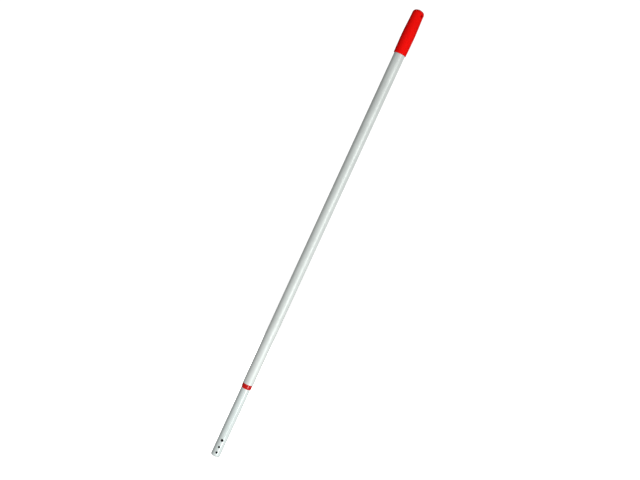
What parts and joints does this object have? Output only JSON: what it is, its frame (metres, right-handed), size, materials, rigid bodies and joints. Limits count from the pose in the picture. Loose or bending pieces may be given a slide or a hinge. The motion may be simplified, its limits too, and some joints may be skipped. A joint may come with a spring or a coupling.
{
  "type": "telescopic sander pole",
  "caption": "Two-section telescopic pole with an internal twist lock, a soft grip with a hanging hole, and a cross-drilled lower end for a drywall sander head.",
  "frame": {"origin": "middle of the tool end, where the sander head goes, at the crown of its end plug", "axes": "+Z along the pole towards the grip, -Y the side from which the fixing holes are drilled, +X to the right when -Y is faced"},
  "size_m": [0.0294, 0.0294, 1.0905],
  "materials": {
    "outer_aluminium": "satin, drawn along its length",
    "inner_aluminium": "bright, drawn along its length",
    "grip_plastic": "soft satin vinyl",
    "collar_plastic": "moulded, slightly glossy",
    "grey_plastic": "moulded, matt",
    "lock_plastic": "moulded, matt",
    "sleeve_plastic": "natural nylon, matt",
    "zinc_steel": "zinc plated",
    "spring_steel": "plain",
    "black_rubber": "matt"
  },
  "bodies": {
    "outer_section": {"outer_tube": "outer_aluminium", "handle_grip": "grip_plastic", "outer_tube_plug": "lock_plastic", "guide_bushing": "collar_plastic"},
    "expander": {"expander_sleeve": "sleeve_plastic", "friction_ring": "black_rubber", "closing_ring": "spring_steel"},
    "inner_section": {"inner_tube": "inner_aluminium", "tool_end_plug": "grey_plastic", "lock_body": "lock_plastic", "lock_pin": "spring_steel", "lock_stud": "zinc_steel", "guide_ring": "sleeve_plastic", "thrust_washer": "zinc_steel", "stop_washer": "zinc_steel", "stop_nut": "zinc_steel"},
    "cone": {"expander_cone": "lock_plastic"}
  },
  "joints": [
    {"name": "lock_twist", "type": "hinge", "parent": "inner_section", "child": "expander", "pos_m": [0, 0, 0], "axis": [0, 0, 1], "range_deg": [0, 360]},
    {"name": "pole_slide", "type": "slide", "parent": "expander", "child": "outer_section", "axis": [0, 0, 1], "range_m": [-0.115, 0.64]},
    {"name": "lock_cone", "type": "slide", "parent": "expander", "child": "cone", "axis": [0, 0, 1], "range_m": [0, 0.00252]}
  ],
  "couplings": [
    {"joint": "lock_cone", "follows": "lock_twist", "m_per_rad": 0.00039789}
  ]
}
